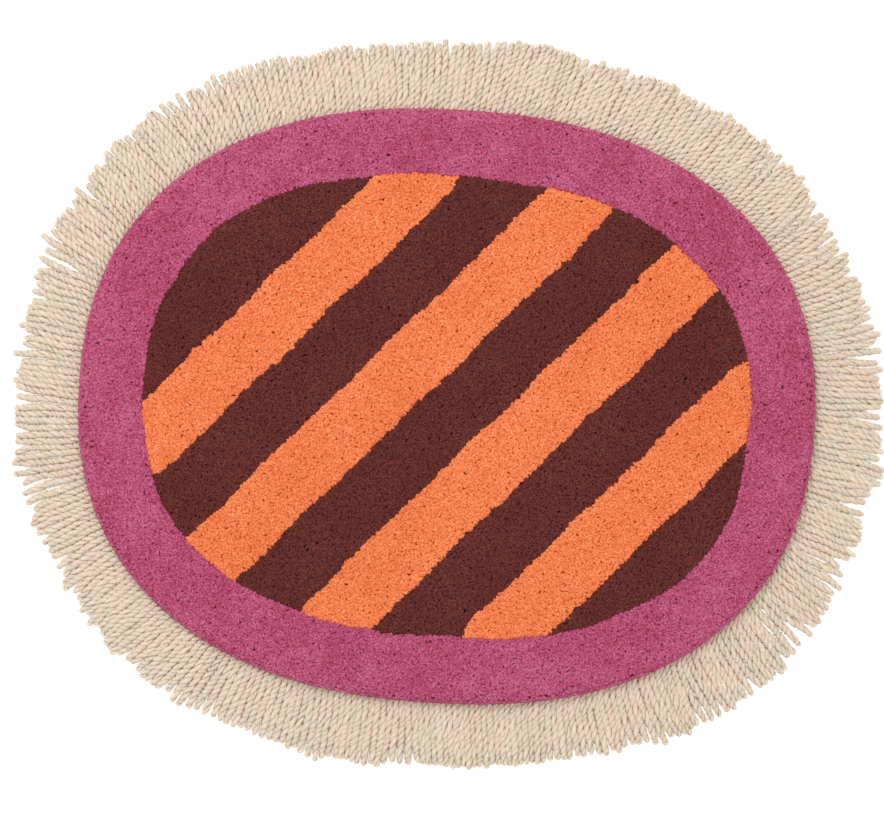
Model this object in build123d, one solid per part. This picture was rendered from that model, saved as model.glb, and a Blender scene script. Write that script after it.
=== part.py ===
from build123d import *
import os
import random
from math import atan2, cos, degrees, hypot, pi, radians, sin, sqrt, tan

# Oval tufted bath mat with a striped pile field, a plain pile border and a corded fringe.
# Millimetres. +X is the long axis, +Z is up. The origin is on the floor, under the middle.

# ---- Outline: both ovals are superellipses, where a power of 2 would be an ellipse ----
PILE_LENGTH = 509.6
PILE_WIDTH = 410.2
PILE_POWER = 2.3
FIELD_LENGTH = 422.0
FIELD_WIDTH = 320.0
FIELD_POWER = 2.37
FIELD_TURN = -0.7  # degrees, the field sits slightly askew in the border
OVAL_SPANS = 16  # two tangent arcs to each

# ---- Stripes across the field ----
STRIPE_WIDTH = 44.7
STRIPE_ANGLE = 47.8  # degrees from the long axis
STRIPE_OFFSET = -7.0  # the middle stripe's centre line, from the middle of the mat
STRIPE_COUNT = 9
COLOUR_GAP = 0.4  # the groove carved between two colours
CARVED_EDGE = 1.0
BORDER_ROUND = 5.0

# ---- Heights, from the floor up ----
LATEX_EDGE_TOP = 1.4
HEM_TOP = 2.2
CLOTH_TOP = 3.0
PILE_TOP = 15.0

# ---- Layers under the pile, as distances inwards from the pile's outline ----
CLOTH_INSET = 0.3
HEM_WIDTH = 16.0
TAPE_WIDTH = 12.5
TAPE_LIFT = 0.3
TAPE_CLEARANCE = 0.05
LATEX_GAP = 0.3
STITCH_INSET = 5.0
STITCH_COUNT = 240
STITCH_LENGTH = 4.2
THREAD_DIAMETER = 0.24
BINDING_DIAMETER = 1.6

# ---- Fringe ----
CORD_COUNT = 360
CORDS_PER_NODE = 10
CORD_DIAMETER = 3.9
CORD_CLEARANCE = 0.1
FLOOR_CLEARANCE = 0.15
FRINGE_AT_ENDS = 43.2
FRINGE_AT_SIDES = 46.9
CORD_SHORTFALL = 1.6  # the shortest cords are this much shorter
CORD_LEAN = ((5, 1.5, 0.6), (9, 0.6, 2.1))  # waves round the mat, degrees, phase
CORD_WAVER = ((7, 0.7, 1.2), (13, 0.25, 4.0))  # waves round the mat, mm, phase
MIDDLE_SHARE = 0.48  # where along a cord its bend is
TIP_ROUND = 0.9  # share of the cord's radius


def oval_radius(length, width, power, angle):
    """Distance from the middle of a superellipse to its edge at a polar angle in radians."""
    across = abs(2 * cos(angle) / length) ** power + abs(2 * sin(angle) / width) ** power
    return across ** (-1 / power)


def oval_point(length, width, power, angle, outward=0.0):
    """A point on a superellipse, moved outward along its normal, and that normal's angle."""
    reach = oval_radius(length, width, power, angle)
    x, y = reach * cos(angle), reach * sin(angle)
    slope_x = abs(2 * x / length) ** (power - 1) / length * (1 if x > 0 else -1)
    slope_y = abs(2 * y / width) ** (power - 1) / width * (1 if y > 0 else -1)
    normal = atan2(slope_y, slope_x)
    return x + outward * cos(normal), y + outward * sin(normal), normal


def oval_face(length, width, power, outward=0.0):
    """A flat face inside a superellipse, drawn as tangent arcs, grown or shrunk along its normals."""
    angles = [2 * pi * i / OVAL_SPANS for i in range(OVAL_SPANS + 1)]
    stations = [oval_point(length, width, power, angle, outward) for angle in angles]
    arcs = []
    for (x0, y0, normal0), (x1, y1, normal1) in zip(stations, stations[1:]):
        start, end = Vector(x0, y0), Vector(x1, y1)
        leaving, arriving = Vector(-sin(normal0), cos(normal0)), Vector(-sin(normal1), cos(normal1))
        chord, both = end - start, leaving + arriving
        bend = 2 * (1 - leaving.dot(arriving))
        reach = (sqrt(chord.dot(both) ** 2 + bend * chord.dot(chord)) - chord.dot(both)) / bend
        joint = (start + leaving * reach + end - arriving * reach) * 0.5
        through = end - arriving * reach - (start + leaving * reach)
        arcs.append(TangentArc(start, joint, tangent=leaving))
        arcs.append(TangentArc(joint, end, tangent=through))
    return make_face(arcs)


def pile_oval(outward=0.0):
    """The pile's outline as a face, grown or shrunk by a distance."""
    return oval_face(PILE_LENGTH, PILE_WIDTH, PILE_POWER, outward)


def field_oval(outward=0.0):
    """The striped field's outline as a face, grown or shrunk by a distance."""
    return Rot(0, 0, FIELD_TURN) * oval_face(FIELD_LENGTH, FIELD_WIDTH, FIELD_POWER, outward)


def slab(face, bottom, top):
    """A flat face as a solid from one height to another."""
    return extrude(Pos(0, 0, bottom) * face, amount=top - bottom, dir=(0, 0, 1))


def evenly_spaced(count, outward):
    """Places at even steps along the pile's outline: (x, y, angle of the outward normal)."""
    fine = 7200
    angles = [2 * pi * i / fine for i in range(fine + 1)]
    line = [oval_point(PILE_LENGTH, PILE_WIDTH, PILE_POWER, a, outward) for a in angles]
    run = [0.0]
    for (x0, y0, _), (x1, y1, _) in zip(line, line[1:]):
        run.append(run[-1] + hypot(x1 - x0, y1 - y0))
    places = []
    k = 0
    for i in range(count):
        wanted = run[-1] * (i + 0.5) / count
        while run[k + 1] < wanted:
            k += 1
        share = (wanted - run[k]) / (run[k + 1] - run[k])
        angle = angles[k] + share * (angles[k + 1] - angles[k])
        places.append(oval_point(PILE_LENGTH, PILE_WIDTH, PILE_POWER, angle, outward))
    return places


def waves(terms, turn):
    """Sum of sine waves, given as (waves round the mat, height, phase), at a share of a turn."""
    return sum(height * sin(2 * pi * count * turn + phase) for count, height, phase in terms)


def latex_backing():
    """Anti-slip coat: thick in the middle and thinner where it laps onto the hem."""
    middle = slab(pile_oval(-HEM_WIDTH - LATEX_GAP), 0, HEM_TOP)
    lap = slab(pile_oval(-TAPE_WIDTH - LATEX_GAP), 0, LATEX_EDGE_TOP)
    return middle + lap


def tufting_cloth():
    """Woven ground cloth, with its hem turned under at the edge."""
    sheet = slab(pile_oval(-CLOTH_INSET), HEM_TOP, CLOTH_TOP)
    hem = slab(pile_oval(-CLOTH_INSET) - pile_oval(-HEM_WIDTH), LATEX_EDGE_TOP, HEM_TOP)
    return sheet + hem


def header_tape():
    """Woven tape that the fringe cords are made on, sewn under the hem."""
    ring = pile_oval(0) - pile_oval(-TAPE_WIDTH)
    return slab(ring, TAPE_LIFT, LATEX_EDGE_TOP - TAPE_CLEARANCE)


def header_stitching():
    """Row of thread stitches on the underside of the header tape."""
    thread = Rot(90, 0, 0) * Cylinder(THREAD_DIAMETER / 2, STITCH_LENGTH)
    height = TAPE_LIFT - TAPE_CLEARANCE - THREAD_DIAMETER / 2
    places = evenly_spaced(STITCH_COUNT, -STITCH_INSET)
    return Compound([Pos(x, y, height) * Rot(0, 0, degrees(n)) * thread for x, y, n in places])


def edge_binding():
    """Whipped yarn edge that lies on the cords where they leave the pile."""
    bottom = FLOOR_CLEARANCE + CORD_DIAMETER + CORD_CLEARANCE
    ring = pile_oval(CORD_CLEARANCE + BINDING_DIAMETER) - pile_oval(CORD_CLEARANCE)
    cord = slab(ring, bottom, bottom + BINDING_DIAMETER)
    return fillet(cord.edges(), BINDING_DIAMETER * 0.45)


def top_edges(pile):
    """The edges of a pile's flat top, shortest first."""
    return pile.edges().filter_by(lambda e: e.center().Z > PILE_TOP - 0.01).sort_by(SortBy.LENGTH)


def pile_border():
    """Plain ring of pile, which rounds over at its outer edge."""
    ring = slab(pile_oval() - field_oval(COLOUR_GAP / 2), CLOTH_TOP, PILE_TOP)
    ring = fillet(top_edges(ring)[-1], BORDER_ROUND)
    return fillet(top_edges(ring)[0], CARVED_EDGE)


def pile_stripes():
    """The field's stripes, from the upper left corner to the lower right, with carved edges."""
    field = field_oval(-COLOUR_GAP / 2)
    colour_counts = {"maroon": 0, "orange": 0}
    stripes = {}
    for i in range(STRIPE_COUNT):
        middle = STRIPE_OFFSET + ((STRIPE_COUNT - 1) / 2 - i) * STRIPE_WIDTH
        width = STRIPE_WIDTH - COLOUR_GAP
        if i in (0, STRIPE_COUNT - 1):
            outward = 1 if i == 0 else -1
            middle += outward * STRIPE_WIDTH
            width += 2 * STRIPE_WIDTH
        band = Rot(0, 0, STRIPE_ANGLE) * Pos(0, middle, 0) * Rectangle(2 * FIELD_LENGTH, width)
        stripe = slab(field & band, CLOTH_TOP, PILE_TOP)
        colour = "maroon" if i % 2 == 0 else "orange"
        colour_counts[colour] += 1
        name = f"{colour}_stripe_{colour_counts[colour]}"
        stripes[name] = chamfer(top_edges(stripe), CARVED_EDGE)
    return stripes


def corner_radius(start, corner, end):
    """As large an arc as two runs allow at the point between them."""
    before, after = corner - start, end - corner
    turn = radians(before.get_angle(after))
    return 0.45 * min(before.length, after.length) / tan(turn / 2)


def fringe_cord(place, turn, shortfall):
    """One fringe cord as a plain tube with a rounded tip, lying just clear of the floor."""
    x, y, normal = place
    reach = FRINGE_AT_ENDS * cos(normal) ** 2 + FRINGE_AT_SIDES * sin(normal) ** 2 - shortfall
    heading = normal + radians(waves(CORD_LEAN, turn))
    waver = waves(CORD_WAVER, turn)
    height = FLOOR_CLEARANCE + CORD_DIAMETER / 2
    ahead, aside = Vector(cos(heading), sin(heading)), Vector(-sin(heading), cos(heading))
    start = Vector(x, y, height)
    middle = start + ahead * (MIDDLE_SHARE * reach) + aside * waver
    end = start + ahead * reach
    route = FilletPolyline(start, middle, end, radius=[corner_radius(start, middle, end)])
    section = Plane(origin=start, z_dir=middle - start) * Circle(CORD_DIAMETER / 2)
    tube = sweep(section, path=route)
    tip = tube.edges().filter_by(GeomType.CIRCLE).sort_by_distance(end)[0]
    return fillet(tip, TIP_ROUND * CORD_DIAMETER / 2), route.length


def fringe():
    """All the fringe cords, in neighbouring groups, with a check on each tube's volume."""
    random.seed(11)
    places = evenly_spaced(CORD_COUNT, CORD_CLEARANCE)
    groups = {}
    worst = 0.0
    for i, place in enumerate(places):
        shortfall = random.uniform(0, CORD_SHORTFALL)
        cord, length = fringe_cord(place, i / CORD_COUNT, shortfall)
        volume = pi * CORD_DIAMETER**2 / 4 * length
        worst = max(worst, abs(cord.volume / volume - 1))
        groups.setdefault(f"fringe_{i // CORDS_PER_NODE + 1:02d}", []).append(cord)
    print(f"cords: {CORD_COUNT}, volume within {100 * worst:.1f}% of section x length")
    return {name: Compound(cords) for name, cords in groups.items()}


def main():
    """Makes every piece and writes each node's file."""
    nodes = {
        "latex_backing": latex_backing(),
        "tufting_cloth": tufting_cloth(),
        "header_tape": header_tape(),
        "header_stitching": header_stitching(),
        "edge_binding": edge_binding(),
        "pile_border": pile_border(),
        **pile_stripes(),
        **fringe(),
    }
    os.makedirs("parts", exist_ok=True)
    for name, shape in nodes.items():
        export_step(shape, f"parts/{name}.step")


main()
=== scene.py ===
"""Oval tufted bath mat with a striped field, a plain border and a twisted cord fringe."""

import logging
import math
from dataclasses import dataclass
from enum import Enum
from typing import Optional, Sequence, Union

import bpy
import numpy as np
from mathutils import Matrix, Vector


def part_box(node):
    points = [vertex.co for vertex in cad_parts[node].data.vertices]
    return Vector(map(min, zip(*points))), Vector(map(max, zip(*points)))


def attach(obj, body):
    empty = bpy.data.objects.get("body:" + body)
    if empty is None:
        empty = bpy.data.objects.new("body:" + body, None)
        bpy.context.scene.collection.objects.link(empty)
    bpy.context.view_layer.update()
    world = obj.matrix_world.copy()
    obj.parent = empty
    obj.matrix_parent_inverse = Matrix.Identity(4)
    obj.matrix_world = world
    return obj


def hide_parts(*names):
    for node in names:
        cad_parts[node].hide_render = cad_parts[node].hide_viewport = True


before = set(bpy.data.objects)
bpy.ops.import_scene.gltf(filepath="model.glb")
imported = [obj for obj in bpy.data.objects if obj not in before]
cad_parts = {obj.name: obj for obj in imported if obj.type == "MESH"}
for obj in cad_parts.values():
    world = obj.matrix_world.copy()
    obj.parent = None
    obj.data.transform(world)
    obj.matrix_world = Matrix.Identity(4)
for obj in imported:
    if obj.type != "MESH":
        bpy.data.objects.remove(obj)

Colour = tuple[float, float, float]
Feed = Union[bpy.types.NodeSocket, float]
Paint = Union[bpy.types.NodeSocket, Colour]

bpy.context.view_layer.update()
LOG = logging.getLogger("bath_mat")
BODY = "root"
MM = 0.001
TINY = 1e-9
FULL_TURN = 2 * math.pi

SEED = 4127
PILE_SEED, FRINGE_SEED, BINDING_SEED = SEED, SEED + 1, SEED + 2
SWAY_SEED, RIPPLE_SEED, RAGGED_SEED, FIELD_SEED = SEED, SEED + 40, SEED + 70, SEED + 90


class Slot(Enum):
    """The record's material slots, by the finish that each piece takes."""

    MAGENTA = "pile_magenta"
    ORANGE = "pile_orange"
    MAROON = "pile_maroon"
    FRINGE = "fringe_cotton"
    CLOTH = "backing_cloth"
    TAPE = "header_cotton"
    BINDING = "binding_yarn"
    THREAD = "sewing_thread"
    LATEX = "latex"


# ---------------------------------------------------------------- outlines


def turned(points: np.ndarray, angle: float) -> np.ndarray:
    """Flat places or directions turned anticlockwise round the origin.

    Args:
        points: X and Y, one row each.
        angle: How far to turn them, in radians.

    Returns:
        The turned rows.
    """
    c, s = math.cos(angle), math.sin(angle)
    x, y = points[:, 0], points[:, 1]
    return np.stack([x * c - y * s, x * s + y * c], axis=1)


@dataclass(frozen=True)
class Oval:
    """A superellipse that lies flat round the origin."""

    half_length: float
    half_width: float
    power: float
    turn: float = 0.0

    def slope(self, points: np.ndarray) -> tuple[np.ndarray, np.ndarray]:
        """How far out points are, and how fast that grows.

        Args:
            points: Places in the row frame, one row each.

        Returns:
            The level, which is 1 on the outline, and its gradient in the row frame.
        """
        p = turned(points, -self.turn)
        scaled = np.abs(p) / (self.half_length, self.half_width)
        level = np.maximum((scaled**self.power).sum(1) ** (1 / self.power), TINY)
        rate = np.sign(p) * scaled ** (self.power - 1) / (self.half_length, self.half_width)
        rate *= level[:, None] ** (1 - self.power)
        return level, turned(rate, self.turn)

    def depth(self, points: np.ndarray) -> np.ndarray:
        """Distance inside the outline, in metres, below zero outside it."""
        level, rate = self.slope(points)
        return (1 - level) / np.maximum(np.linalg.norm(rate, axis=1), TINY)

    def outward(self, points: np.ndarray) -> np.ndarray:
        """Unit vectors that point straight out of the oval."""
        rate = self.slope(points)[1]
        return rate / np.maximum(np.linalg.norm(rate, axis=1), TINY)[:, None]

    def stations(self, count: int, outward: float = 0.0) -> tuple[np.ndarray, np.ndarray]:
        """Places at even steps round the outline.

        Args:
            count: How many places.
            outward: How far outside the outline they lie, in metres.

        Returns:
            The places and the unit vectors that point out of the oval there.
        """
        angle = np.linspace(0, FULL_TURN, 7201)
        ray = np.stack([np.cos(angle), np.sin(angle)], axis=1)
        line = ray / self.slope(ray)[0][:, None]
        line = line + outward * self.outward(line)
        run = np.concatenate([[0], np.cumsum(np.linalg.norm(np.diff(line, axis=0), axis=1))])
        wanted = run[-1] * (np.arange(count) + 0.5) / count
        places = np.stack([np.interp(wanted, run, line[:, k]) for k in (0, 1)], axis=1)
        return places, self.outward(places)

    def area(self, outward: float) -> float:
        """Area inside the outline once it is grown.

        Args:
            outward: How far it grows on every side, in metres.

        Returns:
            The area in square metres.
        """
        places = self.stations(1440, outward)[0]
        ahead = np.roll(places, -1, axis=0)
        return float(abs((places[:, 0] * ahead[:, 1] - places[:, 1] * ahead[:, 0]).sum()) / 2)


@dataclass(frozen=True)
class Wobble:
    """A smooth hand-drawn unevenness along a line, as a few sine waves, each finer than the last."""

    seed: int
    height: float
    longest: float
    waves: int = 4

    def at(self, run: np.ndarray) -> np.ndarray:
        """Sideways offset along the line.

        Args:
            run: Distances along the line, in metres.

        Returns:
            The offset in metres at each distance.
        """
        rng = np.random.default_rng(self.seed)
        total = np.zeros_like(run)
        for k in range(self.waves):
            length = self.longest * 0.52**k * rng.uniform(0.8, 1.2)
            total += 0.62**k * np.sin(FULL_TURN * run / length + rng.uniform(0, FULL_TURN))
        return self.height * total / 1.6


# ---------------------------------------------------------------- meshes


def mesh_from(name: str, points: np.ndarray, faces: Sequence[np.ndarray]) -> bpy.types.Object:
    """Makes a smooth-shaded mesh object.

    Args:
        name: The piece's name.
        points: Vertex places, one row each.
        faces: Arrays of vertex numbers, one row to a face, one array for each number of corners.

    Returns:
        The new object, linked to the scene.
    """
    mesh = bpy.data.meshes.new(name)
    mesh.vertices.add(len(points))
    mesh.vertices.foreach_set("co", np.ascontiguousarray(points, np.float32).ravel())
    corners = np.concatenate([f.ravel() for f in faces]).astype(np.int32)
    sizes = np.concatenate([np.full(len(f), f.shape[1], np.int32) for f in faces])
    mesh.loops.add(len(corners))
    mesh.loops.foreach_set("vertex_index", corners)
    mesh.polygons.add(len(sizes))
    mesh.polygons.foreach_set("loop_start", np.concatenate([[0], np.cumsum(sizes)[:-1]]).astype(np.int32))
    mesh.polygons.foreach_set("use_smooth", np.ones(len(sizes), bool))
    mesh.update(calc_edges=True)
    piece = bpy.data.objects.new(name, mesh)
    bpy.context.scene.collection.objects.link(piece)
    return piece


def set_values(piece: bpy.types.Object, **values: np.ndarray) -> None:
    """Stores numbers at each vertex, for the finish to read.

    Args:
        piece: The mesh object.
        values: One number for each vertex, under each attribute's name.
    """
    for name, numbers in values.items():
        attribute = piece.data.attributes.new(name, "FLOAT", "POINT")
        attribute.data.foreach_set("value", np.ascontiguousarray(numbers, np.float32).ravel())


def grid_faces(rows: int, columns: int, closed: bool) -> np.ndarray:
    """Four-cornered faces over a grid of vertices whose columns wrap round.

    Args:
        rows: Rows of vertices.
        columns: Vertices in each row, which join end to end.
        closed: Whether the last row joins the first.

    Returns:
        One row of four vertex numbers for each face.
    """
    r = np.arange(rows if closed else rows - 1)[:, None]
    c = np.arange(columns)[None, :]
    ahead, beside = (r + 1) % rows, (c + 1) % columns
    corners = (r * columns + c, r * columns + beside, ahead * columns + beside, ahead * columns + c)
    return np.stack(corners, axis=-1).reshape(-1, 4)


def rod_faces(count: int, rings: int, sides: int) -> list[np.ndarray]:
    """Faces of separate rods with flat ends, whose vertices follow each other ring by ring.

    Args:
        count: How many rods.
        rings: Rings of vertices along each one.
        sides: Vertices in each ring.

    Returns:
        The walls and the ends, as rows of vertex numbers.
    """
    shift = (np.arange(count) * rings * sides)[:, None, None]
    walls = grid_faces(rings, sides, False)
    ends = np.stack([np.arange(sides)[::-1], (rings - 1) * sides + np.arange(sides)])
    return [(walls[None] + shift).reshape(-1, 4), (ends[None] + shift).reshape(-1, sides)]


def corner_angles(sides: int) -> np.ndarray:
    """Angles of a ring's corners, at even steps all the way round."""
    return FULL_TURN * np.arange(sides) / sides


def even_out(values: np.ndarray) -> None:
    """Softens each row in place, but for its two ends."""
    values[:, 1:-1] = 0.25 * values[:, :-2] + 0.5 * values[:, 1:-1] + 0.25 * values[:, 2:]


def tube_frames(line: np.ndarray, lead: np.ndarray, closed: bool) -> tuple[np.ndarray, np.ndarray]:
    """Two directions square to each line at each of its points.

    Args:
        line: Points along each line, as (..., points, 3).
        lead: A direction at each point that is roughly square to the line.
        closed: Whether the lines are loops.

    Returns:
        The lead made square to the line, and the direction square to both.
    """
    if closed:
        along = np.roll(line, -1, axis=-2) - np.roll(line, 1, axis=-2)
    else:
        along = np.gradient(line, axis=-2)
    along /= np.linalg.norm(along, axis=-1, keepdims=True)
    first = lead - (lead * along).sum(-1, keepdims=True) * along
    first /= np.linalg.norm(first, axis=-1, keepdims=True)
    return first, np.cross(along, first)


# ---------------------------------------------------------------- finishes


class Painter:
    """Builds one node material, with short methods for the nodes that textiles need."""

    SPECULAR = 0.12
    SHEEN_ROUGHNESS = 0.6
    # The Mix node's sockets for its factor and its two colours, and the one for the mixed colour.
    MIX_INPUTS = (0, 6, 7)
    MIX_RESULT = 2

    def __init__(self, name: str) -> None:
        """Starts an empty material.

        Args:
            name: The material's name.
        """
        self.material = bpy.data.materials.new(name)
        self.material.use_nodes = True
        self.tree = self.material.node_tree
        self.shader = self.tree.nodes["Principled BSDF"]
        self.place = self.tree.nodes.new("ShaderNodeTexCoord").outputs["Object"]

    def noise(
        self, size: float, detail: float = 2.0, stretch: Optional[Sequence[float]] = None
    ) -> bpy.types.NodeSocket:
        """Soft noise from 0 to 1.

        Args:
            size: Size of its features, in metres.
            detail: How many finer layers it has.
            stretch: How much longer the features are along X, Y and Z.

        Returns:
            The output socket.
        """
        place = self.place
        if stretch is not None:
            mapping = self.tree.nodes.new("ShaderNodeMapping")
            mapping.inputs["Scale"].default_value = [1 / s for s in stretch]
            self.tree.links.new(place, mapping.inputs["Vector"])
            place = mapping.outputs["Vector"]
        node = self.tree.nodes.new("ShaderNodeTexNoise")
        node.inputs["Scale"].default_value = 1 / size
        node.inputs["Detail"].default_value = detail
        self.tree.links.new(place, node.inputs["Vector"])
        return node.outputs["Fac"]

    def value(self, name: str) -> bpy.types.NodeSocket:
        """A number that set_values stored on the mesh.

        Args:
            name: The attribute's name.

        Returns:
            The output socket.
        """
        node = self.tree.nodes.new("ShaderNodeAttribute")
        node.attribute_name = name
        return node.outputs["Fac"]

    def math(self, operation: str, a: Feed, b: Feed = 0.0) -> bpy.types.NodeSocket:
        """Arithmetic on sockets or plain numbers.

        Args:
            operation: One of Blender's Math node operations.
            a: The first socket or number.
            b: The second socket or number.

        Returns:
            The output socket.
        """
        node = self.tree.nodes.new("ShaderNodeMath")
        node.operation = operation
        for socket, given in zip(node.inputs, (a, b)):
            if isinstance(given, (int, float)):
                socket.default_value = given
            else:
                self.tree.links.new(given, socket)
        return node.outputs[0]

    def plus(self, a: Feed, b: Feed) -> bpy.types.NodeSocket:
        """Two sockets or numbers added."""
        return self.math("ADD", a, b)

    def times(self, a: Feed, b: Feed) -> bpy.types.NodeSocket:
        """Two sockets or numbers multiplied."""
        return self.math("MULTIPLY", a, b)

    def span(
        self, source: bpy.types.NodeSocket, low: float, high: float, to_low: float = 0.0, to_high: float = 1.0
    ) -> bpy.types.NodeSocket:
        """Stretches a range of values onto another, and keeps it within that.

        Args:
            source: The socket to read.
            low: The value that becomes to_low.
            high: The value that becomes to_high.
            to_low: The result at low and below.
            to_high: The result at high and above.

        Returns:
            The output socket.
        """
        node = self.tree.nodes.new("ShaderNodeMapRange")
        for key, number in zip(("From Min", "From Max", "To Min", "To Max"), (low, high, to_low, to_high)):
            node.inputs[key].default_value = number
        self.tree.links.new(source, node.inputs["Value"])
        return node.outputs["Result"]

    def mix(self, share: Feed, a: Paint, b: Paint) -> bpy.types.NodeSocket:
        """Mixes two colours.

        Args:
            share: Socket or number, 0 for a and 1 for b.
            a: The first colour, as a socket or three numbers.
            b: The second colour.

        Returns:
            The output socket.
        """
        node = self.tree.nodes.new("ShaderNodeMix")
        node.data_type = "RGBA"
        for number, given in zip(self.MIX_INPUTS, (share, a, b)):
            if isinstance(given, (int, float)):
                node.inputs[number].default_value = given
            elif isinstance(given, tuple):
                node.inputs[number].default_value = (*given, 1.0)
            else:
                self.tree.links.new(given, node.inputs[number])
        return node.outputs[self.MIX_RESULT]

    def finish(
        self,
        colour: bpy.types.NodeSocket,
        height: Optional[bpy.types.NodeSocket],
        depth: float,
        roughness: float,
        sheen: float,
        tint: Colour = (1.0, 1.0, 1.0),
    ) -> bpy.types.Material:
        """Wires the colour and the bump to the shader, and sets its plain numbers.

        Args:
            colour: The base colour's socket.
            height: The bump's height socket, or None.
            depth: The bump's height in metres.
            roughness: The shader's roughness.
            sheen: The shader's sheen weight.
            tint: The sheen's colour.

        Returns:
            The material.
        """
        self.tree.links.new(colour, self.shader.inputs["Base Color"])
        self.shader.inputs["Roughness"].default_value = roughness
        self.shader.inputs["Specular IOR Level"].default_value = self.SPECULAR
        self.shader.inputs["Sheen Weight"].default_value = sheen
        self.shader.inputs["Sheen Roughness"].default_value = self.SHEEN_ROUGHNESS
        self.shader.inputs["Sheen Tint"].default_value = (*tint, 1.0)
        if height is not None:
            bump = self.tree.nodes.new("ShaderNodeBump")
            bump.inputs["Distance"].default_value = depth
            self.tree.links.new(height, bump.inputs["Height"])
            self.tree.links.new(bump.outputs["Normal"], self.shader.inputs["Normal"])
        return self.material


@dataclass(frozen=True)
class PileFinish:
    """Fluffy cut cotton yarn: one dye colour with lighter and darker tufts, and painted shade low down
    between the tufts.
    """

    name: str
    light: Colour
    middle: Colour
    dark: Colour
    # The root colour is painted shade, laid low on each tuft where the tufts shade each other.
    root: Colour
    blotch: float
    fibre_size: float = 0.5 * MM
    speck_size: float = 1.1 * MM
    patch_size: float = 7 * MM
    cloud_size: float = 34 * MM
    tuft_share: float = 0.55
    patch_share: float = 0.2
    cloud_share: float = 0.3
    fuzz: float = 0.25 * MM

    def material(self) -> bpy.types.Material:
        """Makes the node material.

        Returns:
            The material, which reads shade and deep from the mesh.
        """
        p = Painter(self.name)
        fibre = p.noise(self.fibre_size, 3.0)
        cloud = p.span(p.noise(self.cloud_size), 0.35, 0.65)
        patch = p.span(p.noise(self.patch_size), 0.3, 0.7)
        tone = p.times(p.value("shade"), self.tuft_share)
        tone = p.plus(tone, p.times(cloud, self.cloud_share * self.blotch))
        tone = p.plus(tone, p.times(patch, self.patch_share * self.blotch))
        tone = p.plus(tone, p.span(p.noise(self.speck_size, 3.0), 0.32, 0.68, -0.5, 0.5))
        body = p.mix(p.span(tone, 0.5, 1.0), self.middle, self.light)
        body = p.mix(p.span(tone, 0.0, 0.5), self.dark, body)
        # Painted shade: each tuft darkens towards the root colour low down, by the depth value stored on the
        # mesh.
        colour = p.mix(p.span(p.value("deep"), 0.0, 1.0), body, self.root)
        return p.finish(colour, fibre, self.fuzz, 0.95, 0.25, self.light)


@dataclass(frozen=True)
class CordFinish:
    """Twisted cotton: fine yarns round each ply, in a slightly uneven tone, with painted shade between the
    plies and between the yarns.
    """

    name: str
    light: Colour
    warm: Colour
    green: Colour
    pale: Colour
    # The brown of the painted shade between the plies and the yarns, also laid on random darker mottles.
    shade_and_mottle: Colour
    fibre_size: float = 0.35 * MM
    yarns: float = 4.0
    yarn_turning: float = 2600.0
    yarn_depth: float = 0.16 * MM
    mottle: tuple[float, float] = (0.56, 0.74)

    def material(self) -> bpy.types.Material:
        """Makes the node material.

        Returns:
            The material, which reads shade, along, around and inner from the mesh; inner is the share of
            painted shade.
        """
        p = Painter(self.name)
        fibre = p.noise(self.fibre_size, 3.0)
        yarn = p.plus(p.times(p.value("around"), self.yarns), p.times(p.value("along"), self.yarn_turning))
        yarn = p.span(p.math("SINE", yarn), -1.0, 1.0)
        warmth = p.times(p.value("shade"), 0.6)
        warmth = p.plus(warmth, p.span(p.noise(6 * MM), 0.35, 0.65, 0.0, 0.4))
        tone = p.mix(warmth, self.light, self.warm)
        tone = p.mix(p.span(p.noise(9 * MM, 2.0, (1.0, 1.3, 1.0)), 0.42, 0.7), tone, self.green)
        # Random darker mottles in the brown of the painted shade.
        tone = p.mix(p.span(p.noise(1.9 * MM), *self.mottle, 0.0, 0.34), tone, self.shade_and_mottle)
        tone = p.mix(p.span(p.noise(2.3 * MM, 2.0, (1.0, 1.1, 1.0)), *self.mottle, 0.0, 0.7), tone, self.pale)
        # Painted shade between the plies and low on the flanks, as much as the mesh's inner value gives.
        tone = p.mix(p.span(p.value("inner"), 0.5, 0.95, 0.0, 0.9), tone, self.shade_and_mottle)
        # Painted shade in the troughs between the yarns.
        tone = p.mix(p.span(yarn, 0.0, 0.5, 0.05, 0.0), tone, self.shade_and_mottle)
        height = p.plus(p.times(yarn, 0.2), p.times(fibre, 0.5))
        return p.finish(tone, height, self.yarn_depth, 0.9, 0.2, self.light)


@dataclass(frozen=True)
class WovenFinish:
    """Plain or twilled cloth with its weave in the bump and the colour."""

    name: str
    light: Colour
    dark: Colour
    thread: float
    depth: float
    sheen: float = 0.1
    slub_size: float = 1.2 * MM

    def material(self) -> bpy.types.Material:
        """Makes the node material.

        Returns:
            The material.
        """
        p = Painter(self.name)
        split = p.tree.nodes.new("ShaderNodeSeparateXYZ")
        p.tree.links.new(p.place, split.inputs[0])
        warp, weft = (p.math("SINE", p.times(split.outputs[k], FULL_TURN / self.thread)) for k in (0, 1))
        weave = p.span(p.times(warp, weft), -1.0, 1.0)
        slub = p.noise(self.slub_size, 3.0)
        height = p.plus(p.times(weave, 0.7), p.times(slub, 0.5))
        colour = p.mix(p.span(height, 0.2, 0.9), self.dark, self.light)
        return p.finish(colour, height, self.depth, 0.92, self.sheen, self.light)


@dataclass(frozen=True)
class LatexFinish:
    """Sprayed anti-slip latex: matt, slightly blotched, with fine pimples."""

    name: str
    light: Colour
    dark: Colour
    pimple_size: float = 1.6 * MM
    pimple_height: float = 0.4 * MM
    cloud_size: float = 40 * MM

    def material(self) -> bpy.types.Material:
        """Makes the node material.

        Returns:
            The material.
        """
        p = Painter(self.name)
        pimples = p.noise(self.pimple_size, 3.0)
        cloud = p.noise(self.cloud_size, 3.0)
        colour = p.mix(p.span(cloud, 0.35, 0.7), self.light, self.dark)
        colour = p.mix(p.span(pimples, 0.3, 0.5, 0.35, 0.0), colour, self.dark)
        return p.finish(colour, pimples, self.pimple_height, 0.7, 0.0)


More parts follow.
